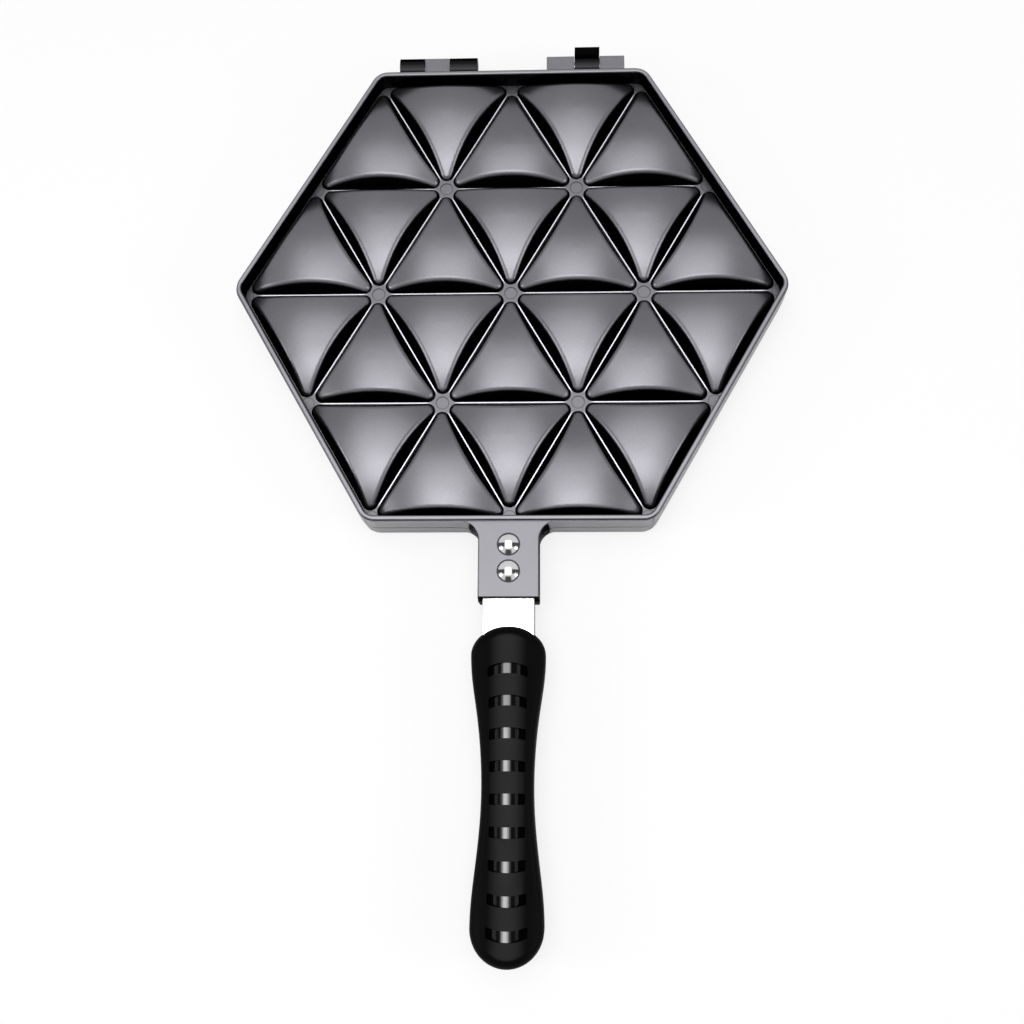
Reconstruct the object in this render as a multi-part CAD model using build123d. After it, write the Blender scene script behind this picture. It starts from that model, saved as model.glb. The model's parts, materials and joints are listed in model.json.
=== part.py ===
from build123d import *
import os
from math import atan2, cos, degrees, radians, sin, sqrt, tan

# Double-sided samosa pan, in millimetres.
# The two halves are the same set of pieces, turned over about the handle's direction and hinged.
# A half is drawn with Z = 0 on the parting plane and +Z towards its outside. X = Y = 0 is the
# middle of the hexagon, the handle points to -Y and the hinge lies at +Y.

# Triangular cells
cell_side = 64.0
cells_per_side = 2
seam_width = 0.6
rim_cell_gain = 1.2
dome_height = 9.7
dome_sphere_radius = 70.0
dome_wall_angle = 66.0
dome_corner_radius = 3.8
dome_shoulder_radius = 3.0
pocket_corner_radius = 3.0
node_mark_diameter = 6.0
node_mark_depth = 0.25

# Pan casting
casting_wall = 3.0
parting_gap = 0.3
rim_height = 13.3
cavity_margin = 1.2
rim_inner_lean = 0.2
rim_top_width = 2.25
rim_edge_radius = 0.8
rim_inner_edge_radius = 0.8
rim_corner_radius = 8.5
cavity_corner_radius = 5.0
ledge_height = 11.3
ledge_width = 0.45
flange_flare = 0.25

# Bracket for the handle, cast with the pan
bracket_width = 27.5
bracket_length = 34.4
bracket_root_radius = 8.0
bracket_draft = 2.0
bracket_edge_radius = 0.6
bracket_embed = 3.0
stem_inner_gap = 1.5

# Handle stem and its rivets
stem_width = 23.4
stem_thickness = 3.0
stem_side_clearance = 0.15
stem_bare_length = 12.7
stem_edge_radius = 0.4
tang_width = 12.0
tang_length = 88.0
tang_corner_radius = 3.0
tang_clearance = 0.1
rivet_head_diameter = 9.5
rivet_head_height = 1.9
rivet_shank_diameter = 5.0
rivet_tail_diameter = 8.4
rivet_tail_height = 1.6
rivet_first_offset = 10.25
rivet_spacing = 12.3
rivet_hole_clearance = 0.05

# Grip
grip_length = 145.0
grip_height = 12.4
grip_gap = 0.4
grip_nose_half_width = 16.75
grip_nose_length = 12.5
grip_waist_half_width = 11.6
grip_waist_offset = 78.7
grip_end_half_width = 16.0
grip_crown_radius = 28.0
grip_edge_radius = 5.0
front_flank = (0.375, 0.466)
rear_flank = (0.46, 0.466)
sleeve_wall = 1.3
window_count = 9
window_first_offset = 20.9
window_pitch = 13.6
window_length = 4.7
window_width = 15.5
window_width_gain = 2.4
window_arch = 2.0
window_corner_radius = 0.8

# Grip screws
screw_shank_diameter = 3.0
screw_head_diameter = 6.0
screw_head_height = 1.7
screw_tip_inset = 0.3
screw_driver_width = 0.8
screw_driver_depth = 0.8
screw_first_offset = 32.0
screw_spacing = 40.0
screw_core_clearance = 0.15
screw_thread_clearance = 0.02

# Hinge
hinge_offset = 8.3
hinge_station = 37.8
lug_radius = 5.6
lug_flat = 3.5
lug_embed = 2.5
web_top = 2.6
knuckle_width = 12.4
knuckle_side_clearance = 0.2
outer_lug_width = 12.4
inner_lug_width = 13.9
lip_reach = 6.9
lip_height = 8.2
lip_thickness = 2.6
lip_edge_radius = 1.2
slot_angle = 58.0
slot_width = 2.0
pin_diameter = 5.0
pin_end_inset = 0.5
pin_end_chamfer = 0.5
pin_press_clearance = 0.02
pin_running_clearance = 0.08

# Sizes that follow from the ones above
cell_height = cell_side * sqrt(3) / 2
cell_inradius = cell_side / (2 * sqrt(3))
wall_slope = radians(dome_wall_angle)
half_gap = parting_gap / 2
dome_top = casting_wall + dome_height
lattice_apothem = cells_per_side * cell_height
cavity_apothem = lattice_apothem + cavity_margin
rim_inner_apothem = cavity_apothem + rim_inner_lean
rim_outer_apothem = rim_inner_apothem + rim_top_width
ledge_apothem = rim_outer_apothem + ledge_width
flange_apothem = ledge_apothem + flange_flare
bracket_end = flange_apothem + bracket_length
stem_top = ledge_height - casting_wall
stem_bottom = stem_top - stem_thickness
stem_start = flange_apothem + stem_inner_gap
grip_start = bracket_end + stem_bare_length
grip_end = grip_start + grip_length
grip_top = grip_gap + grip_height
hinge_y = flange_apothem + hinge_offset
half_knuckle_slot = knuckle_width / 2 + knuckle_side_clearance
pan_middle_y = (grip_end - hinge_y - lip_reach) / 2
rivet_places = [flange_apothem + rivet_first_offset + i * rivet_spacing for i in range(2)]
screw_places = [grip_start + screw_first_offset + i * screw_spacing for i in range(2)]


def hexagon(apothem, corner_radius):
    """Hexagon with corners at +X and -X, flat sides to the handle and the hinge."""
    outline = RegularPolygon(radius=apothem, side_count=6, major_radius=False)
    return fillet(outline.vertices(), corner_radius)


def frustum(outline, base_z, height, lean):
    """Solid on an outline, its walls leaning inwards by an angle from the vertical."""
    return Pos(0, 0, base_z) * extrude(outline, height, taper=lean)


def cell_places():
    """Places of the cells inside the lattice, and of those with a side on the rim, turned to it."""
    inner_places = []
    rim_places = []
    reach = cells_per_side * cell_side
    columns = range(-2 * cells_per_side, 2 * cells_per_side + 1)
    for row in range(-cells_per_side, cells_per_side):
        for column in columns:
            for turn in (0, 180):
                points_up = turn == 0
                shift = (row % 2) / 2 + (0.5 if points_up else 0.0)
                x = (column + shift) * cell_side
                y = (row + (1 / 3 if points_up else 2 / 3)) * cell_height
                if abs(x) + abs(y) / sqrt(3) >= reach:
                    continue
                rim_turns = [t for t in (turn, turn + 120, turn + 240)
                             if x * sin(radians(t)) - y * cos(radians(t)) > lattice_apothem - 2 * cell_inradius]
                if rim_turns:
                    rim_places.append(Pos(x, y, 0) * Rot(0, 0, rim_turns[0]))
                else:
                    inner_places.append(Pos(x, y, 0) * Rot(0, 0, turn))
    return inner_places, rim_places


def node_places():
    """Seam crossings that lie inside the rim."""
    places = []
    reach = cells_per_side * cell_side
    for row in range(1 - cells_per_side, cells_per_side):
        for column in range(-2 * cells_per_side, 2 * cells_per_side + 1):
            x = (column + (row % 2) / 2) * cell_side
            y = row * cell_height
            if abs(x) + abs(y) / sqrt(3) < reach - cell_side / 2:
                places.append(Pos(x, y, casting_wall))
    return places


def cell_form(gain, inset, corner_radius, base_z, sphere_radius, top_z):
    """Triangular pillow, its -Y side moved out by a gain: sloping sides under a part of a sphere."""
    overshoot = 1.0
    inradius = cell_inradius - inset + gain / 3
    outline = RegularPolygon(radius=inradius, side_count=3, major_radius=False, rotation=90)
    outline = fillet(outline.vertices(), corner_radius)
    sides = frustum(outline, base_z, top_z + overshoot - base_z, 90 - dome_wall_angle)
    form = sides & (Pos(0, 0, top_z - sphere_radius) * Sphere(sphere_radius))
    return Pos(0, -2 * gain / 3, 0) * form


def fill_cells(inner_form, rim_form):
    """A form in every cell, the larger one in those with a side on the rim."""
    inner_places, rim_places = cell_places()
    return [place * inner_form for place in inner_places] + [place * rim_form for place in rim_places]


def with_shoulder(form):
    """Pillow with a round shoulder between its sides and its crown."""
    crown = form.faces().sort_by(Axis.Z)[-1]
    return fillet(crown.edges(), dome_shoulder_radius)


def make_domes():
    """Outer pillows, one over each cell."""
    sizes = (seam_width / 2, dome_corner_radius, casting_wall, dome_sphere_radius, dome_top)
    return fill_cells(with_shoulder(cell_form(0, *sizes)), with_shoulder(cell_form(rim_cell_gain, *sizes)))


def make_pockets():
    """Hollows inside the pillows, one casting wall below the outer surface."""
    inset = seam_width / 2 - casting_wall / tan(wall_slope) + casting_wall / sin(wall_slope)
    sizes = (inset, pocket_corner_radius, 0, dome_sphere_radius - casting_wall, dome_height)
    return fill_cells(cell_form(0, *sizes), cell_form(rim_cell_gain, *sizes))


def make_tray():
    """Floor, flange and rim of the casting, before the cells."""
    foot = hexagon(flange_apothem, rim_corner_radius + ledge_width + flange_flare)
    flange_rise = ledge_height - half_gap
    flange = frustum(foot, half_gap, flange_rise, degrees(atan2(flange_flare, flange_rise)))
    rim = Pos(0, 0, ledge_height) * extrude(hexagon(rim_outer_apothem, rim_corner_radius),
                                            rim_height - ledge_height)
    rim = fillet(rim.faces().sort_by(Axis.Z)[-1].edges(), rim_edge_radius)
    cavity_foot = hexagon(cavity_apothem, cavity_corner_radius)
    cavity_rise = rim_height - casting_wall
    cavity = frustum(cavity_foot, casting_wall, cavity_rise, -degrees(atan2(rim_inner_lean, cavity_rise)))
    tray = flange + rim - cavity
    rim_top = tray.faces().sort_by(Axis.Z)[-1]
    return fillet(rim_top.inner_wires()[0].edges(), rim_inner_edge_radius)


def make_bracket():
    """Drafted block in front of the rim that carries the stem."""
    length = bracket_end - ledge_apothem
    root_width = bracket_width + 2 * bracket_root_radius + 2 * bracket_embed
    arm = Pos(0, -ledge_apothem - length / 2) * Rectangle(bracket_width, length)
    root = Pos(0, -ledge_apothem + bracket_embed / 2) * Rectangle(root_width, bracket_embed)
    outline = arm + root
    inner_corners = [v for v in outline.vertices()
                     if abs(v.Y + ledge_apothem) < 0.01 and abs(v.X) < bracket_width / 2 + 0.01]
    outline = fillet(inner_corners, bracket_root_radius)
    block = Pos(0, 0, ledge_height) * extrude(outline, -(ledge_height - half_gap), taper=-bracket_draft)
    top = block.faces().sort_by(Axis.Z)[-1]
    open_edges = [e for e in top.edges() if e.center().Y < -ledge_apothem - 0.01]
    return fillet(open_edges, bracket_edge_radius)


def make_stem_channel():
    """Space under the bracket's top wall for the stem, open at its end and underneath."""
    width = stem_width + 2 * stem_side_clearance
    start = stem_start - stem_side_clearance
    overrun = 1.0
    length = bracket_end + overrun - start
    return Pos(0, -start - length / 2, stem_top / 2) * Box(width, length, stem_top)


def hinge_bar(profile, x_from, x_to):
    """Hinge section, drawn about the pin's axis, made solid from one X to another."""
    plane = Plane.YZ.offset(x_from)
    plane.origin = Vector(x_from, hinge_y, 0)
    return extrude(plane * profile, x_to - x_from)


def lug_section():
    """Roll round the pin, flat towards the other half, with a low web back to the rim wall."""
    web_length = hinge_offset + lug_embed
    web_height = web_top - half_gap
    web = Pos(-web_length / 2, half_gap + web_height / 2) * Rectangle(web_length, web_height)
    cut_depth = lug_radius
    waste = Pos(0, -lug_flat - cut_depth / 2) * Rectangle(2 * lug_radius, cut_depth)
    return Circle(lug_radius) + web - waste


def knuckle_section():
    """Lug section with a slot that leads down to the pin and a raised lip behind it."""
    lip_start = lip_height / tan(radians(slot_angle))
    lip = Polygon((0, 0), (lug_radius, 0), (lip_reach, lip_height - lip_thickness),
                  (lip_reach, lip_height), (lip_start, lip_height), align=None)
    tips = [v for v in lip.vertices() if abs(v.X - lip_reach) < 0.01]
    lip = fillet(tips, lip_edge_radius)
    slot_length = lip_reach + lip_height
    slot = Rot(0, 0, slot_angle) * Pos(slot_length / 2, 0) * Rectangle(slot_length, slot_width)
    return lug_section() + lip - slot


def make_hinge():
    """Lug pair on one side and knuckle on the other, with the bores for both pins."""
    outer_edge = hinge_station + half_knuckle_slot + outer_lug_width
    slot_outer = hinge_station + half_knuckle_slot
    slot_inner = hinge_station - half_knuckle_slot
    inner_edge = slot_inner - inner_lug_width
    outer_lug = hinge_bar(lug_section(), -outer_edge, -slot_outer)
    inner_lug = hinge_bar(lug_section(), -slot_inner, -inner_edge)
    knuckle = hinge_bar(knuckle_section(), hinge_station - knuckle_width / 2,
                        hinge_station + knuckle_width / 2)
    lug_bore = hinge_bar(Circle(pin_diameter / 2 + pin_press_clearance), -outer_edge, -inner_edge)
    knuckle_bore = hinge_bar(Circle(pin_diameter / 2 + pin_running_clearance),
                             slot_inner, slot_outer)
    return [outer_lug, inner_lug, knuckle], [lug_bore, knuckle_bore]


def make_pan():
    """One casting: tray, domes, pockets, bracket and hinge."""
    hinge_solids, hinge_bores = make_hinge()
    marks = [place * Cylinder(node_mark_diameter / 2, 2 * node_mark_depth) for place in node_places()]
    rivet_hole = Cylinder(rivet_shank_diameter / 2 + rivet_hole_clearance, 2 * ledge_height)
    rivet_holes = [Pos(0, -place, ledge_height) * rivet_hole for place in rivet_places]
    pan = make_tray() + make_domes() + [make_bracket()] + hinge_solids
    return pan - make_pockets() - marks - [make_stem_channel()] - rivet_holes - hinge_bores


def make_stem():
    """Flat steel strip with a narrower tang inside the grip."""
    wide_end = grip_start + grip_nose_length
    tang_end = grip_start + tang_length
    wide = Pos(0, -(stem_start + wide_end) / 2) * Rectangle(stem_width, wide_end - stem_start)
    tang = Pos(0, -(stem_start + tang_end) / 2) * Rectangle(tang_width, tang_end - stem_start)
    outline = wide + tang
    corners = [v for v in outline.vertices() if v.Y < -wide_end + 0.01 and abs(v.X) > tang_width / 2 - 0.01]
    outer_corners = [v for v in corners if abs(v.X) > tang_width / 2 + 0.01 or v.Y < -wide_end - 0.01]
    outline = fillet(outer_corners, tang_corner_radius)
    stem = Pos(0, 0, stem_bottom) * extrude(outline, stem_thickness)
    long_edges = stem.edges().filter_by(Axis.Y).filter_by(lambda e: e.length < wide_end - stem_start + 1)
    stem = fillet(long_edges, stem_edge_radius)
    holes = [Pos(0, -place, stem_top) * Cylinder(rivet_shank_diameter / 2 + rivet_hole_clearance,
                                                 3 * stem_thickness) for place in rivet_places]
    thread = Cylinder(screw_shank_diameter / 2 + screw_thread_clearance, 3 * stem_thickness)
    threads = [Pos(0, -place, stem_top) * thread for place in screw_places]
    return stem - holes - threads


def make_rivet(place):
    """Domed head outside, shank through bracket and stem, flat tail inside."""
    head_radius = rivet_head_diameter / 2
    ball_radius = (head_radius ** 2 + rivet_head_height ** 2) / (2 * rivet_head_height)
    ball = Pos(0, 0, rivet_head_height - ball_radius) * Sphere(ball_radius)
    head = ball & Pos(0, 0, rivet_head_height) * Box(rivet_head_diameter, rivet_head_diameter,
                                                     2 * rivet_head_height)
    grip_through = ledge_height - stem_bottom
    shank = Pos(0, 0, -grip_through / 2) * Cylinder(rivet_shank_diameter / 2, grip_through)
    tail = Pos(0, 0, -grip_through - rivet_tail_height / 2) * Cylinder(rivet_tail_diameter / 2,
                                                                       rivet_tail_height)
    tail = fillet(tail.faces().sort_by(Axis.Z)[0].edges(), rivet_tail_height / 3)
    return Pos(0, -place, ledge_height) * (head + shank + tail)


def grip_outline(inset):
    """Plan of the grip: half-oval nose, drawn-in waist and half-round end."""
    nose_half = grip_nose_half_width - inset
    waist_half = grip_waist_half_width - inset
    end_half = grip_end_half_width - inset
    nose_y = -grip_start - grip_nose_length
    waist_y = -grip_start - grip_waist_offset
    end_y = -grip_end + grip_end_half_width
    front_x = waist_half + (nose_half - waist_half) * front_flank[1]
    front_y = nose_y + (waist_y - nose_y) * front_flank[0]
    rear_x = waist_half + (end_half - waist_half) * rear_flank[1]
    rear_y = waist_y + (end_y - waist_y) * rear_flank[0]
    flank = Spline((nose_half, nose_y), (front_x, front_y), (waist_half, waist_y), (rear_x, rear_y),
                   (end_half, end_y), tangents=((0, -1), (0, -1)))
    nose = EllipticalCenterArc((0, nose_y), nose_half, grip_nose_length - inset, arc_size=90)
    end = CenterArc((0, end_y), end_half, 270, 90)
    right = Curve() + [nose, flank, end]
    return make_face(right.edges() + mirror(right, Plane.YZ).edges())


def grip_form(inset):
    """Outer form of the grip, drawn in by an inset everywhere but on the flat face."""
    block = Pos(0, 0, grip_gap) * extrude(grip_outline(inset), grip_height - inset)
    crown = Pos(0, -(grip_start + grip_end) / 2, grip_top - grip_crown_radius) * Rot(90, 0, 0) * Cylinder(
        grip_crown_radius - inset, 2 * grip_length)
    form = block & crown
    top = form.faces().sort_by(Axis.Z)[-1]
    return fillet(top.edges(), grip_edge_radius - inset)


def grip_windows():
    """Row of slots across the sleeve that bow towards the grip's nearer end."""
    cutters = []
    middle = (window_count - 1) / 2
    for index in range(window_count):
        share = (index - middle) / middle
        half = (window_width + window_width_gain * share ** 2) / 2
        bow = -window_arch * share
        near_y = -grip_start - window_first_offset - index * window_pitch + window_length / 2
        far_y = near_y - window_length
        near = edge_through((-half, near_y), (0, near_y + bow), (half, near_y))
        far = edge_through((half, far_y), (0, far_y + bow), (-half, far_y))
        sides = [Line((half, near_y), (half, far_y)), Line((-half, far_y), (-half, near_y))]
        outline = make_face([near, far] + sides)
        outline = fillet(outline.vertices(), window_corner_radius)
        cutters.append(Pos(0, 0, grip_gap + grip_height / 3) * extrude(outline, grip_height))
    return cutters


def edge_through(start, middle, end):
    """Arc through three points, or a line where they lie in line."""
    if abs(middle[1] - start[1]) < 0.02:
        return Line(start, end)
    return ThreePointArc(start, middle, end)


def make_grip_core(core_form):
    """Rigid core with the slot for the tang and the screw holes."""
    wide_end = grip_start + grip_nose_length + tang_clearance
    tang_end = grip_start + tang_length + tang_clearance
    slot_height = stem_thickness + 2 * tang_clearance
    slot_z = stem_bottom + stem_thickness / 2
    wide_length = wide_end - bracket_end
    wide = Pos(0, -(bracket_end + wide_end) / 2, slot_z) * Box(stem_width + 2 * tang_clearance,
                                                               wide_length, slot_height)
    tang_run = tang_end - bracket_end
    tang = Pos(0, -(bracket_end + tang_end) / 2, slot_z) * Box(tang_width + 2 * tang_clearance,
                                                               tang_run, slot_height)
    hole_radius = screw_shank_diameter / 2 + screw_core_clearance
    head_radius = screw_head_diameter / 2 + screw_core_clearance
    hole = Pos(0, 0, stem_bottom / 2) * Cylinder(hole_radius, stem_bottom + 1)
    sink = Pos(0, 0, grip_gap + screw_head_height / 2) * Cone(head_radius, hole_radius, screw_head_height)
    holes = [Pos(0, -place, 0) * (hole + sink) for place in screw_places]
    return core_form - wide - tang - holes


def make_grip_sleeve(outer_form, core_form):
    """Soft skin over the core, open at the windows, the flat face and the stem."""
    mouth_z = stem_bottom + stem_thickness / 2
    mouth_length = 2 * grip_nose_length
    mouth = Pos(0, -grip_start, mouth_z) * Box(stem_width + 2 * tang_clearance, mouth_length,
                                               stem_thickness + 2 * tang_clearance)
    return outer_form - core_form - mouth - grip_windows()


def make_screw(place):
    """Countersunk screw, from the grip's flat face up into the tang."""
    shank_length = stem_top - screw_tip_inset - grip_gap
    shank = Pos(0, 0, grip_gap + shank_length / 2) * Cylinder(screw_shank_diameter / 2, shank_length)
    head = Pos(0, 0, grip_gap + screw_head_height / 2) * Cone(
        screw_head_diameter / 2, screw_shank_diameter / 2, screw_head_height)
    slot = Pos(0, 0, grip_gap) * Box(screw_driver_width, screw_head_diameter, 2 * screw_driver_depth)
    cross = Rot(0, 0, 90) * slot
    return Pos(0, -place, 0) * (shank + head - slot - cross)


def make_hinge_pin():
    """Straight pin, pressed into the lug pair."""
    start = hinge_station - half_knuckle_slot - inner_lug_width + pin_end_inset
    end = hinge_station + half_knuckle_slot + outer_lug_width - pin_end_inset
    pin = Rot(0, 90, 0) * Cylinder(pin_diameter / 2, end - start)
    pin = chamfer(pin.edges().filter_by(GeomType.CIRCLE), pin_end_chamfer)
    return Pos(-(start + end) / 2, hinge_y, 0) * pin


def make_half():
    """All pieces of one half, by name."""
    core_form = grip_form(sleeve_wall)
    pieces = {
        "pan": make_pan(),
        "stem": make_stem(),
        "grip_core": make_grip_core(core_form),
        "grip_sleeve": make_grip_sleeve(grip_form(0), core_form),
        "hinge_pin": make_hinge_pin(),
    }
    for index, place in enumerate(rivet_places):
        pieces[f"rivet_{index + 1}"] = make_rivet(place)
    for index, place in enumerate(screw_places):
        pieces[f"grip_screw_{index + 1}"] = make_screw(place)
    return pieces


def main():
    """Place both halves with the lower rim on Z = 0 and the whole length centred on Y = 0."""
    os.makedirs("parts", exist_ok=True)
    closed = Pos(0, pan_middle_y, rim_height)
    halves = {"upper": closed, "lower": closed * Rot(0, 180, 0)}
    for name, piece in make_half().items():
        for half, place in halves.items():
            export_step(place * piece, f"parts/{half}_{name}.step")


main()
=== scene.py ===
import json
from math import cos, pi, radians, sin, sqrt
import bmesh
import bpy
from mathutils import Matrix, Vector


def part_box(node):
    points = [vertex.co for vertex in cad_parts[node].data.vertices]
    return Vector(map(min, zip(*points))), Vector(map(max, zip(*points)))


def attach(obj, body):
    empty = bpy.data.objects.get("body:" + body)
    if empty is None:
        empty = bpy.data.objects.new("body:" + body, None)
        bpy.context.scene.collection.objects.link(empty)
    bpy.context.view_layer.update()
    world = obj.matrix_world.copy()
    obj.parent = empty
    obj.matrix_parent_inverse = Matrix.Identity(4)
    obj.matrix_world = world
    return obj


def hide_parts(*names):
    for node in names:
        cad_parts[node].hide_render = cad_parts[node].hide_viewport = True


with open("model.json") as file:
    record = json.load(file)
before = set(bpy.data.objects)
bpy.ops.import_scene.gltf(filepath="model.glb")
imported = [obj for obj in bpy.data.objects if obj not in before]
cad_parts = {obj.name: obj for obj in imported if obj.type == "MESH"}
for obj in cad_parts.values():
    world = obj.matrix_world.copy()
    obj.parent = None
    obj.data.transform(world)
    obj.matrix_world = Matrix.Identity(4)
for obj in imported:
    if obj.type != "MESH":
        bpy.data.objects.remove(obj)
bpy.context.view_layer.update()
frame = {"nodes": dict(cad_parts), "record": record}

MM = 0.001
HALVES = (("upper", 1), ("lower", -1))

# The pan in millimetres: its middle along Y, the parting plane, the cells and the flange
PAN_Y = 88.45
PART_Z = 13.3
CELL_SIDE = 64.0
SEAM_PITCH = CELL_SIDE * sqrt(3) / 2
FLANGE_REACH = 115.2
MARK_RADIUS = 3.0

# The camera, in millimetres and radians, as fitted to the photograph
CAMERA_PLACE = (22.42, -151.31, 563.81)
CAMERA_PITCH = -0.2352
CAMERA_LEAN = -0.0377
CAMERA_TURN = 0.0036

# Brightness of each part of the coating
TOP_GREY = 0.135
# Painted shade: the steep sides of domes, rim and hinge are darker than the dome tops
STEEP_SHADE_GREY = 0.025
# Painted light: the level faces outside the cells are lighter than the dome tops
FLAT_HIGHLIGHT_GREY = 0.15
NODE_GREY = 0.125
# Painted highlight on the rim's level top
RIM_HIGHLIGHT_GREY = 0.19
# Painted highlight: a thin bright line along the seams between the cells
SEAM_HIGHLIGHT_GREY = 0.6
# Painted shade: the hinge rolls are near black
ROLL_SHADE_GREY = 0.012
# Painted reflection: the rim's outer walls are lighter than other steep sides
WALL_REFLECTION_GREY = 0.22
RING_GREY = 0.07
COATING_TINT = (0.985, 0.965, 1.05)

# Reflection at grazing angles, and how much of the painted shade on steep sides the rim's round edge keeps
EDGE_TINT = 0.12
WALL_EDGE_TINT = 0.9
RIM_EDGE_STEEPNESS = 0.35

# Roughness of the coating's domes, steep sides and flat places
TOP_ROUGH = 0.32
STEEP_ROUGH = 0.24
FLAT_ROUGH = 0.42

# Where the coating changes, in millimetres: a mask is 0 at the first value and 1 at the second
RIM_EDGE_HEIGHT = (12.4, 12.7)
RIM_TOP_HEIGHT = (13.0, 13.25)
INSIDE_REACH = (112.3, 112.0)
VALLEY_HEIGHT = (3.5, 3.2)
SEAM_WIDTH = (0.30, 0.18)
SEAM_END = (4.0, 7.5)
SEAM_HEIGHT = (2.8, 2.9)
ROLL_REACH = (FLANGE_REACH - 0.2, FLANGE_REACH + 0.2)
ROLL_HEIGHT = (3.55, 3.7)
RING_WIDTH = (0.4, 0.1)
# Painted shadow: a dark ring round each rivet head, where the gap under it would shade
RIVET_SHADOW_RADIUS = (5.5, 5.2)
WALL_INNER_REACH = (113.5, 114.2)
WALL_OUTER_REACH = (116.2, 115.6)
WALL_FOOT_HEIGHT = (0.3, 0.5)
WALL_HEAD_HEIGHT = (11.9, 11.6)

# Where the coating changes with how far a face looks up: 1 is level, 0 is upright
STEEP_UP = (0.86, 0.5)
LEVEL_UP = (0.93, 0.99)

# Between these two values lies most of what a noise texture gives
NOISE_SPREAD = (0.3, 0.7)


# Camera
def make_camera():
    """Camera at the photograph's place: above the pan, a little towards the handle."""
    data = bpy.data.cameras.new("camera")
    data.sensor_width = 36.0
    data.lens = 42.93
    data.clip_start = 0.01
    data.clip_end = 20.0
    cam = bpy.data.objects.new("camera", data)
    bpy.context.scene.collection.objects.link(cam)
    turn = Matrix.Rotation(CAMERA_TURN, 3, "Z") @ Matrix.Rotation(CAMERA_LEAN, 3, "Y")
    turn = turn @ Matrix.Rotation(CAMERA_PITCH, 3, "X")
    place = turn.transposed().to_4x4()
    place.translation = Vector(CAMERA_PLACE) * MM
    cam.matrix_world = place
    bpy.context.scene.camera = cam


# Materials
class Tree:
    """A material's node tree with short calls."""

    def __init__(self, name):
        self.mat = bpy.data.materials.new(name)
        self.mat.use_nodes = True
        self.nodes = self.mat.node_tree.nodes
        self.links = self.mat.node_tree.links
        self.bsdf = self.nodes["Principled BSDF"]
        self.coords = self.nodes.new("ShaderNodeTexCoord")

    def add(self, kind, inputs=None, **settings):
        node = self.nodes.new(kind)
        for key, value in settings.items():
            setattr(node, key, value)
        for key, value in (inputs or {}).items():
            self.feed(node.inputs[key], value)
        return node

    def feed(self, socket, value):
        """Link another node's output to a socket, or set the socket's own value."""
        if hasattr(value, "is_output"):
            self.links.new(value, socket)
        else:
            socket.default_value = value

    def split(self, vector):
        return self.add("ShaderNodeSeparateXYZ", {0: vector}).outputs

    def place(self):
        return self.split(self.coords.outputs["Object"])

    def normal(self):
        return self.split(self.coords.outputs["Normal"])

    def up(self):
        """How far a face looks up or down: 1 is level, 0 is upright."""
        return self.math("ABSOLUTE", self.normal()[2])

    def noise(self, scale, detail=2.0, rough=0.5, stretch=None):
        vector = self.coords.outputs["Object"]
        if stretch:
            vector = self.add("ShaderNodeMapping", {"Vector": vector, "Scale": stretch}).outputs[0]
        inputs = {"Vector": vector, "Scale": scale, "Detail": detail, "Roughness": rough}
        return self.add("ShaderNodeTexNoise", inputs).outputs[0]

    def ramp(self, value, low, high, from_low=0.0, from_high=1.0, smooth=False):
        inputs = {0: value, 1: from_low, 2: from_high, 3: low, 4: high}
        kind = "SMOOTHSTEP" if smooth else "LINEAR"
        return self.add("ShaderNodeMapRange", inputs, interpolation_type=kind).outputs[0]

    def vary(self, noise, low, high):
        """A value that a noise texture moves between low and high."""
        return self.ramp(noise, low, high, *NOISE_SPREAD)

    def step(self, value, low, high):
        """0 below low, 1 above high, smooth between; the other way round where high is the lower."""
        if low < high:
            return self.ramp(value, 0.0, 1.0, low, high, True)
        return self.ramp(value, 1.0, 0.0, high, low, True)

    def math(self, op, a, b=0.0, c=0.0):
        return self.add("ShaderNodeMath", {0: a, 1: b, 2: c}, operation=op).outputs[0]

    def product(self, a, *others):
        """Several values multiplied: for masks, 1 only where all of them are 1."""
        for other in others:
            a = self.math("MULTIPLY", a, other)
        return a

    def mix(self, factor, a, b):
        return self.add("ShaderNodeMix", {0: factor, 6: a, 7: b}, data_type="RGBA").outputs[2]

    def blend(self, factor, a, b):
        return self.add("ShaderNodeMix", {0: factor, 2: a, 3: b}, data_type="FLOAT").outputs[0]

    def colour(self, channels):
        return self.add("ShaderNodeCombineColor", dict(enumerate(channels))).outputs[0]

    def bump(self, height, strength, distance):
        inputs = {"Height": height, "Strength": strength, "Distance": distance}
        return self.add("ShaderNodeBump", inputs).outputs[0]

    def set(self, **inputs):
        names = {"base": "Base Color", "metal": "Metallic", "rough": "Roughness", "normal": "Normal",
                 "ior": "IOR", "spec": "Specular IOR Level", "edge": "Specular Tint"}
        for key, value in inputs.items():
            self.feed(self.bsdf.inputs[names[key]], value)
        return self.mat


def lattice(t, x, y):
    """Reach towards the hexagon's nearest side, and the distances to the three nearest seams."""
    slant = t.math("MULTIPLY", x, sqrt(3) / 2)
    across = [y, t.math("MULTIPLY_ADD", y, 0.5, slant), t.math("SUBTRACT", t.math("MULTIPLY", y, 0.5), slant)]
    reaches = [t.math("ABSOLUTE", value) for value in across]
    reach = t.math("MAXIMUM", reaches[0], t.math("MAXIMUM", reaches[1], reaches[2]))
    seams = [t.math("PINGPONG", value, SEAM_PITCH / 2) for value in across]
    return reach, seams


def nearest_two(t, distances):
    """The smallest and the middle one of three distances."""
    low = t.math("MINIMUM", distances[0], distances[1])
    high = t.math("MAXIMUM", distances[0], distances[1])
    first = t.math("MINIMUM", low, distances[2])
    second = t.math("MAXIMUM", low, t.math("MINIMUM", high, distances[2]))
    return first, second


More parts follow.
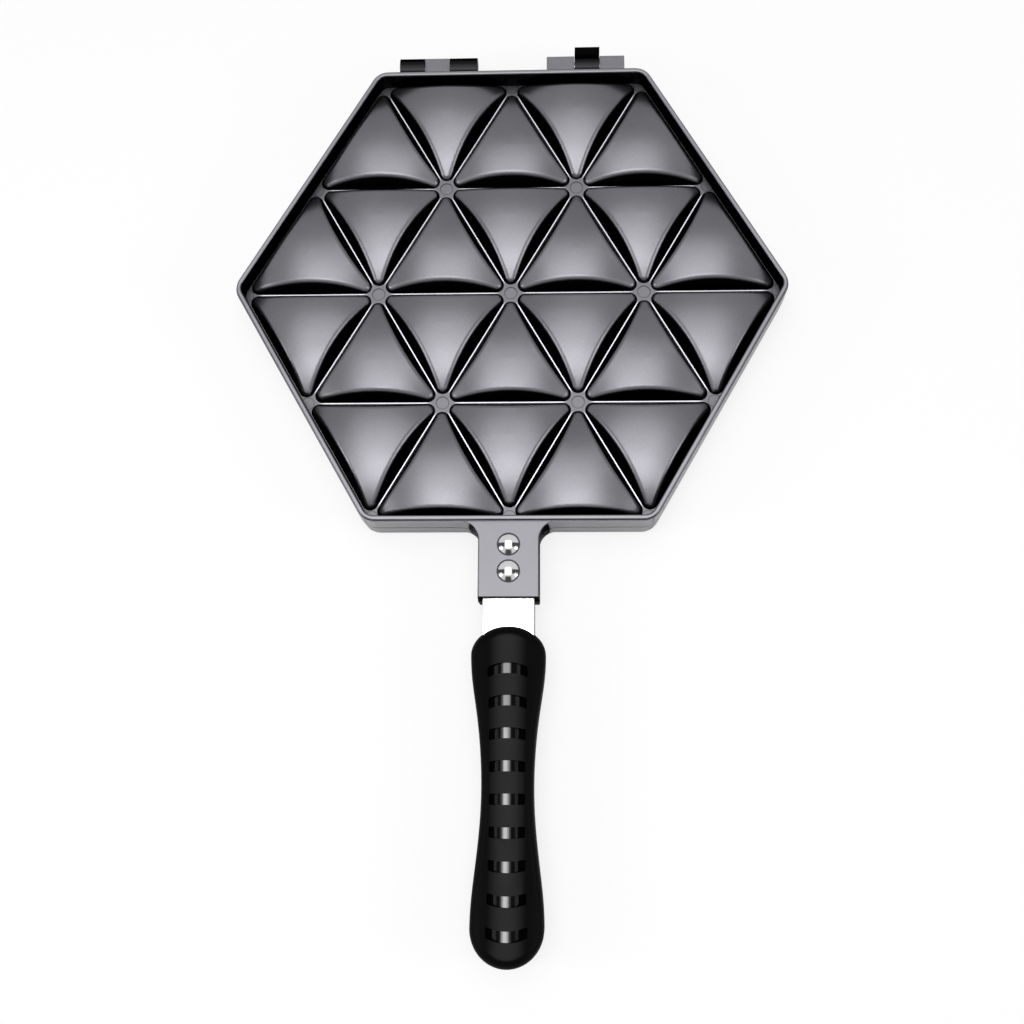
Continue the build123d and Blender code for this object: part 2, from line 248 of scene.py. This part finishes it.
def node_distance(t, seams):
    """Distance to the node where three seams meet, from the distances to the seams."""
    squares = [t.math("MULTIPLY", value, value) for value in seams]
    total = t.math("ADD", t.math("ADD", squares[0], squares[1]), squares[2])
    return t.math("SQRT", t.math("MULTIPLY", total, 2 / 3))


def rivet_distance(t, x, y):
    """Distance in millimetres to the nearer rivet's axis."""
    distances = []
    for index in (1, 2):
        lo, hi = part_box(f"upper_rivet_{index}")
        along = t.math("ADD", y, PAN_Y - (lo[1] + hi[1]) / 2 / MM)
        squares = t.math("MULTIPLY_ADD", x, x, t.math("MULTIPLY", along, along))
        distances.append(t.math("SQRT", squares))
    return t.math("MINIMUM", *distances)


def coating():
    """Dark grey satin coating, glossier on the steep sides; painted shade darkens the steep sides, hinge
    rolls and rivet rings, and painted light brightens the seams, rim top, outer walls and flat places.
    """
    t = Tree("coating")
    x, y, z = t.place()
    x = t.math("MULTIPLY", x, 1 / MM)
    y = t.math("MULTIPLY_ADD", y, 1 / MM, -PAN_Y)
    height = t.math("ABSOLUTE", t.math("MULTIPLY_ADD", z, 1 / MM, -PART_Z))
    reach, seams = lattice(t, x, y)
    seam, second = nearest_two(t, seams)
    up = t.up()

    rim_edge = t.step(height, *RIM_EDGE_HEIGHT)
    # Where painted shade darkens the steep sides; it is weaker on the rim's round edge
    steep = t.product(t.step(up, *STEEP_UP), t.ramp(rim_edge, 1.0, RIM_EDGE_STEEPNESS))
    level = t.step(up, *LEVEL_UP)
    inside = t.step(reach, *INSIDE_REACH)
    outside = t.math("SUBTRACT", 1.0, inside)
    valley = t.product(inside, t.step(height, *VALLEY_HEIGHT))
    flat = t.product(level, t.math("MAXIMUM", valley, outside))
    # Painted highlight along each seam in the valleys
    line = t.product(t.step(seam, *SEAM_WIDTH), t.step(second, *SEAM_END), valley,
                     t.step(height, *SEAM_HEIGHT))
    # Where the painted highlight on the rim's level top goes
    rim = t.product(t.step(height, *RIM_TOP_HEIGHT), level)
    # Where the painted shade on the hinge rolls beyond the flange goes
    roll = t.product(t.step(y, *ROLL_REACH), t.step(height, *ROLL_HEIGHT))
    off_mark = t.math("ABSOLUTE", t.math("SUBTRACT", node_distance(t, seams), MARK_RADIUS))
    ring = t.product(t.step(off_mark, *RING_WIDTH), valley)
    # Painted shadow ring round each rivet head on the tab
    rivet_shadow_ring = t.step(rivet_distance(t, x, y), *RIVET_SHADOW_RADIUS)
    # All the painted shade together: steep sides, hinge rolls and the rings round the rivets
    dark = t.math("MAXIMUM", steep, t.math("MAXIMUM", roll, rivet_shadow_ring))
    # Where the painted reflection on the rim's outer walls goes, which also reflect more at grazing angles
    wall = t.product(t.step(reach, *WALL_INNER_REACH), t.step(reach, *WALL_OUTER_REACH),
                     t.step(height, *WALL_FOOT_HEIGHT), t.step(height, *WALL_HEAD_HEIGHT))

    grain = t.noise(scale=2600.0)
    cloud = t.noise(scale=45.0, detail=3.0)
    grey = t.blend(t.product(level, valley), TOP_GREY, NODE_GREY)
    # Painted light on the level faces outside the cells
    grey = t.blend(t.product(level, outside), grey, FLAT_HIGHLIGHT_GREY)
    grey = t.blend(rim, grey, RIM_HIGHLIGHT_GREY)
    grey = t.blend(ring, grey, RING_GREY)
    grey = t.blend(dark, grey, t.blend(wall, STEEP_SHADE_GREY, WALL_REFLECTION_GREY))
    grey = t.blend(roll, grey, ROLL_SHADE_GREY)
    grey = t.blend(line, grey, SEAM_HIGHLIGHT_GREY)
    grey = t.product(grey, t.product(t.vary(cloud, 0.94, 1.06), t.vary(grain, 0.90, 1.10)))
    base = t.colour([t.math("MULTIPLY", grey, share) for share in COATING_TINT])
    rough = t.blend(dark, t.blend(flat, TOP_ROUGH, FLAT_ROUGH), STEEP_ROUGH)
    rough = t.product(rough, t.vary(cloud, 0.95, 1.05))
    edge = t.colour([t.ramp(wall, EDGE_TINT, WALL_EDGE_TINT)] * 3)
    normal = t.bump(grain, strength=0.10, distance=0.0002)
    return t.set(base=base, metal=1.0, rough=rough, edge=edge, normal=normal)


def brushed(name, colour, rough):
    """Brushed steel with fine streaks along Y, with painted shade on its rounded edges and sides."""
    t = Tree(name)
    side_colour = (0.12, 0.12, 0.13, 1)
    face_up = (0.75, 0.97)
    streak = t.noise(scale=900.0, rough=0.6, stretch=(1.0, 0.04, 1.0))
    # Painted shade: faces that look sideways take the dark side colour
    base = t.mix(t.step(t.up(), *face_up), side_colour, colour)
    return t.set(base=base, metal=1.0, rough=t.vary(streak, rough * 0.8, rough * 1.3),
                 normal=t.bump(streak, strength=0.05, distance=0.0001))


def polished(name, colour, dark):
    """Polished rivet steel: bright on top, with painted dark reflections of the studio on its flanks and
    foot.
    """
    t = Tree(name)
    flank_across = (0.18, 0.30)
    flank_far = (0.12, 0.03)
    flank_near = (-0.27, -0.17)
    foot_across = (0.26, 0.12)
    foot_near = (-0.34, -0.44)
    smear = t.noise(scale=300.0)
    across, along = t.normal()[:2]
    across = t.math("ABSOLUTE", across)
    # Painted reflection: flanks and foot, found by which way a face looks, take the dark colour
    flank = t.product(t.step(across, *flank_across), t.step(along, *flank_far), t.step(along, *flank_near))
    foot = t.product(t.step(across, *foot_across), t.step(along, *foot_near))
    base = t.mix(t.math("MAXIMUM", flank, foot), colour, dark)
    return t.set(base=base, metal=1.0, rough=t.vary(smear, 0.10, 0.15))


def gloss_black():
    """Glossy black plastic with faint smears; its reflection is painted strong on top and weak on the flanks,
    a painted highlight and shade.
    """
    t = Tree("gloss_black")
    top_up = (0.952, 0.985)
    smear = t.noise(scale=200.0)
    # Painted highlight and shade: reflection strength follows how far a face looks up
    return t.set(base=(0.002, 0.002, 0.002, 1), rough=t.vary(smear, 0.07, 0.12), ior=1.8,
                 spec=t.ramp(t.step(t.up(), *top_up), 0.02, 0.55))


def matt_black():
    """Soft-touch black with a fine spark-eroded grain, and a painted sheen along its crown, which also
    reflects more there.
    """
    t = Tree("matt_black")
    crown_up = (0.95, 0.9995)
    side_colour = (0.0015, 0.0015, 0.0017, 1)
    crown_sheen_colour = (0.006, 0.006, 0.0065, 1)
    grain = t.noise(scale=3500.0)
    cloud = t.noise(scale=70.0)
    # Painted sheen: the crown is lighter and more reflective than the sides
    crown = t.step(t.up(), *crown_up)
    return t.set(base=t.mix(crown, side_colour, crown_sheen_colour), rough=t.vary(cloud, 0.40, 0.46),
                 spec=t.ramp(crown, 0.025, 0.08), normal=t.bump(grain, strength=0.15, distance=0.0001))


# Pieces
def lathe(name, profile, centre, up, steps=64):
    """Turned piece: (radius, height) points about an axis through a centre, along up."""
    mesh = bpy.data.meshes.new(name)
    bm = bmesh.new()
    rings = []
    for radius, height in profile:
        angles = [2 * pi * i / steps for i in range(steps)] if radius else [0.0]
        rings.append([bm.verts.new((radius * cos(a), radius * sin(a), height)) for a in angles])
    for lower, upper in zip(rings, rings[1:]):
        for i in range(steps):
            j = (i + 1) % steps
            corners = [(lower, i), (upper, i), (upper, j), (lower, j)]
            unique = list(dict.fromkeys(ring[k % len(ring)] for ring, k in corners))
            if len(unique) > 2:
                bm.faces.new(unique)
    bmesh.ops.recalc_face_normals(bm, faces=bm.faces)
    bmesh.ops.scale(bm, verts=bm.verts, vec=(MM, MM, MM))
    turn = Vector((0, 0, 1)).rotation_difference(Vector(up)).to_matrix()
    bmesh.ops.transform(bm, matrix=Matrix.Translation(centre) @ turn.to_4x4(), verts=bm.verts)
    for face in bm.faces:
        face.smooth = True
    bm.to_mesh(mesh)
    bm.free()
    piece = bpy.data.objects.new(name, mesh)
    bpy.context.scene.collection.objects.link(piece)
    return piece


def arc_points(radius, drop, start, end, count):
    """Points on a circle about (0, drop), from one angle off the axis to another."""
    angles = [start + (end - start) * i / count for i in range(count + 1)]
    return [(radius * sin(angle), drop + radius * cos(angle)) for angle in angles]


def make_rivets(material):
    """Turned rivets with a rolled head edge and a flat tail, in place of the plain ones."""
    head = 4.75
    rise = 1.9
    shank = 2.5
    tail = 4.2
    tail_height = 1.6
    cap_angle = 0.62
    ball = (head ** 2 + rise ** 2) / (2 * rise)
    cap = arc_points(ball, rise - ball, 0.0, cap_angle, 14)
    cap[0] = (0, rise)
    edge = [(head - 0.23, cap[-1][1] - 0.22), (head - 0.03, 0.18), (head, 0.06), (head - 0.07, -0.02),
            (shank, -0.02)]
    for half, up in HALVES:
        for index in (1, 2):
            node = f"{half}_rivet_{index}"
            lo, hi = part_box(node)
            length = (hi[2] - lo[2]) / MM - rise
            foot = [(shank, tail_height), (tail - 0.1, tail_height), (tail, tail_height - 0.1), (tail, 0.7),
                    (tail - 0.16, 0.25), (tail - 0.54, 0.0), (0, 0.0)]
            foot = [(radius, height - length) for radius, height in foot]
            top = hi[2] if up > 0 else lo[2]
            centre = Vector(((lo[0] + hi[0]) / 2, (lo[1] + hi[1]) / 2, top - up * rise * MM))
            piece = lathe(node + "_turned", cap + edge + foot, centre, (0, 0, up))
            piece.data.materials.append(material)
            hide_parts(node)
            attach(piece, f"{half}_half")


def make_cores(material):
    """Grip cores with a rounder ridge along the windows, in place of the plain ones."""
    ridge_radius = 6.0
    ridge_shift = -0.6
    ridge_top = 11.8
    ridge_half = 9.0
    blend_half = 10.0
    slot_top = 8.6
    slices = 10
    edge_slack = 0.01
    front_ramp = (13.0, 16.5)
    rear_ramp = (138.0, 133.0)
    sharp_angle = radians(35)
    edge_z = ridge_top - ridge_drop(ridge_half, ridge_radius)
    for half, up in HALVES:
        node = f"{half}_grip_core"
        grip_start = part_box(f"{half}_grip_sleeve")[1][1] / MM
        bm = bmesh.new()
        bm.from_mesh(frame["nodes"][node].data)
        for index in range(-slices, slices + 1):
            slice_mesh(bm, (index * blend_half / slices, 0, 0), (1, 0, 0))
        for reach in front_ramp + rear_ramp:
            slice_mesh(bm, (0, grip_start - reach, 0), (0, 1, 0))
        for vert in bm.verts:
            x = abs(vert.co.x / MM)
            z = up * (vert.co.z / MM - PART_Z)
            if x > blend_half - edge_slack or z < slot_top:
                continue
            reach = grip_start - vert.co.y / MM
            share = min(ramp_share(reach, *front_ramp), ramp_share(reach, *rear_ramp))
            if x < ridge_half:
                ridge = ridge_top - ridge_drop(vert.co.x / MM - up * ridge_shift, ridge_radius)
            else:
                ridge = edge_z + (z - edge_z) * (x - ridge_half) / (blend_half - ridge_half)
            vert.co.z = (PART_Z + up * (z + (ridge - z) * share)) * MM
        for face in bm.faces:
            face.smooth = True
        mesh = bpy.data.meshes.new(node + "_ridged")
        bm.to_mesh(mesh)
        bm.free()
        mesh.set_sharp_from_angle(angle=sharp_angle)
        piece = bpy.data.objects.new(node + "_ridged", mesh)
        bpy.context.scene.collection.objects.link(piece)
        mesh.materials.clear()
        mesh.materials.append(material)
        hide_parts(node)
        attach(piece, f"{half}_half")


def slice_mesh(bm, place, direction):
    """New edges where a plane, given in millimetres, crosses the mesh."""
    everything = bm.verts[:] + bm.edges[:] + bm.faces[:]
    bmesh.ops.bisect_plane(bm, geom=everything, plane_co=Vector(place) * MM, plane_no=direction)


def ridge_drop(x, radius):
    """Fall of a ridge that is round on top and straightens to 45 degrees."""
    return radius * (sqrt(1 + (x / radius) ** 2) - 1)


def ramp_share(value, zero_at, one_at):
    """0 to 1 between two values, held outside them."""
    return min(max((value - zero_at) / (one_at - zero_at), 0.0), 1.0)


# Stage
def area(name, place, target, size, power, size_y=None):
    """Area lamp, square unless size_y is given, that faces a target; metres and watts."""
    data = bpy.data.lights.new(name, "AREA")
    data.energy = power
    data.size = size
    if size_y:
        data.shape = "RECTANGLE"
        data.size_y = size_y
    lamp = bpy.data.objects.new(name, data)
    bpy.context.scene.collection.objects.link(lamp)
    lamp.location = place
    back = (Vector(place) - Vector(target)).normalized()
    side = Vector((0, 1, 0)).cross(back).normalized()
    lamp.rotation_euler = Matrix((side, back.cross(side), back)).transposed().to_euler()


def make_lamps():
    """Three soft lamps overhead, one inside the next in size, and a lamp on each side."""
    x = -0.07
    area("overhead_wide", (x, 0.15, 1.32), (x, 0.15, 0), size=1.2, size_y=1.5, power=8.5)
    area("overhead_middle", (x, -0.07, 1.31), (x, -0.07, 0), size=0.9, size_y=1.05, power=3.4)
    area("overhead_core", (x, -0.28, 1.3), (x, -0.28, 0), size=0.6, size_y=0.6, power=2.6)
    for name, side in (("side_left", -1), ("side_right", 1)):
        area(name, (side * 1.15, -0.3, 0.65), (0, 0, 0), size=0.5, power=4.0)


def make_world(strength):
    """Soft grey light from all round; the camera, gloss and glass see plain white."""
    world = bpy.data.worlds.new("studio")
    bpy.context.scene.world = world
    world.use_nodes = True
    nodes, links = world.node_tree.nodes, world.node_tree.links
    nodes.clear()
    path = nodes.new("ShaderNodeLightPath")
    seen = path.outputs["Is Camera Ray"]
    for name in ("Is Glossy Ray", "Is Transmission Ray"):
        add = nodes.new("ShaderNodeMath")
        add.operation = "MAXIMUM"
        links.new(seen, add.inputs[0])
        links.new(path.outputs[name], add.inputs[1])
        seen = add.outputs[0]
    light = nodes.new("ShaderNodeBackground")
    light.inputs["Strength"].default_value = strength
    white = nodes.new("ShaderNodeBackground")
    white.inputs["Color"].default_value = (1, 1, 1, 1)
    mix = nodes.new("ShaderNodeMixShader")
    links.new(seen, mix.inputs[0])
    links.new(light.outputs[0], mix.inputs[1])
    links.new(white.outputs[0], mix.inputs[2])
    out = nodes.new("ShaderNodeOutputWorld")
    links.new(mix.outputs[0], out.inputs["Surface"])


def make_floor():
    """Pale floor: white to the camera, with the object's shadow kept."""
    half = 4.0
    drop = 0.0002
    camera_share = 0.75
    dark_patch = (0.93, 0.93, 0.93, 1)
    light_patch = (0.95, 0.95, 0.95, 1)
    mesh = bpy.data.meshes.new("floor")
    corners = [(-half, -half, 0), (half, -half, 0), (half, half, 0), (-half, half, 0)]
    mesh.from_pydata(corners, [], [(0, 1, 2, 3)])
    floor = bpy.data.objects.new("floor", mesh)
    bpy.context.scene.collection.objects.link(floor)
    floor.location.z = -drop
    t = Tree("floor_white")
    mottle = t.noise(scale=3.0)
    t.set(base=t.mix(mottle, dark_patch, light_patch), rough=0.9, spec=0.1)
    path = t.add("ShaderNodeLightPath")
    glow = t.add("ShaderNodeEmission", {"Color": (1, 1, 1, 1), "Strength": 1.0})
    share = t.math("MULTIPLY", path.outputs["Is Camera Ray"], camera_share)
    mixed = t.add("ShaderNodeMixShader", {0: share, 1: t.bsdf.outputs[0], 2: glow.outputs[0]})
    t.links.new(mixed.outputs[0], t.nodes["Material Output"].inputs["Surface"])
    mesh.materials.append(t.mat)


bpy.context.scene.view_settings.view_transform = "Standard"
make_camera()
make_world(strength=0.25)
make_floor()
make_lamps()

finishes = {
    "pan_coating": coating(),
    "stem_steel": brushed("stem_steel", (0.85, 0.85, 0.86, 1), rough=0.2),
    "rivet_steel": polished("rivet_steel", (0.6, 0.6, 0.62, 1), dark=(0.06, 0.06, 0.065, 1)),
    "grip_gloss": gloss_black(),
    "grip_matt": matt_black(),
    "screw_steel": brushed("screw_steel", (0.55, 0.55, 0.57, 1), rough=0.3),
    "pin_steel": brushed("pin_steel", (0.6, 0.6, 0.62, 1), rough=0.25),
}
for part in frame["record"]["subparts"]:
    node = frame["nodes"][part["node"]]
    for place in node.material_slots:
        place.material = finishes[part["material_slot"]]
make_rivets(finishes["rivet_steel"])
make_cores(finishes["grip_gloss"])
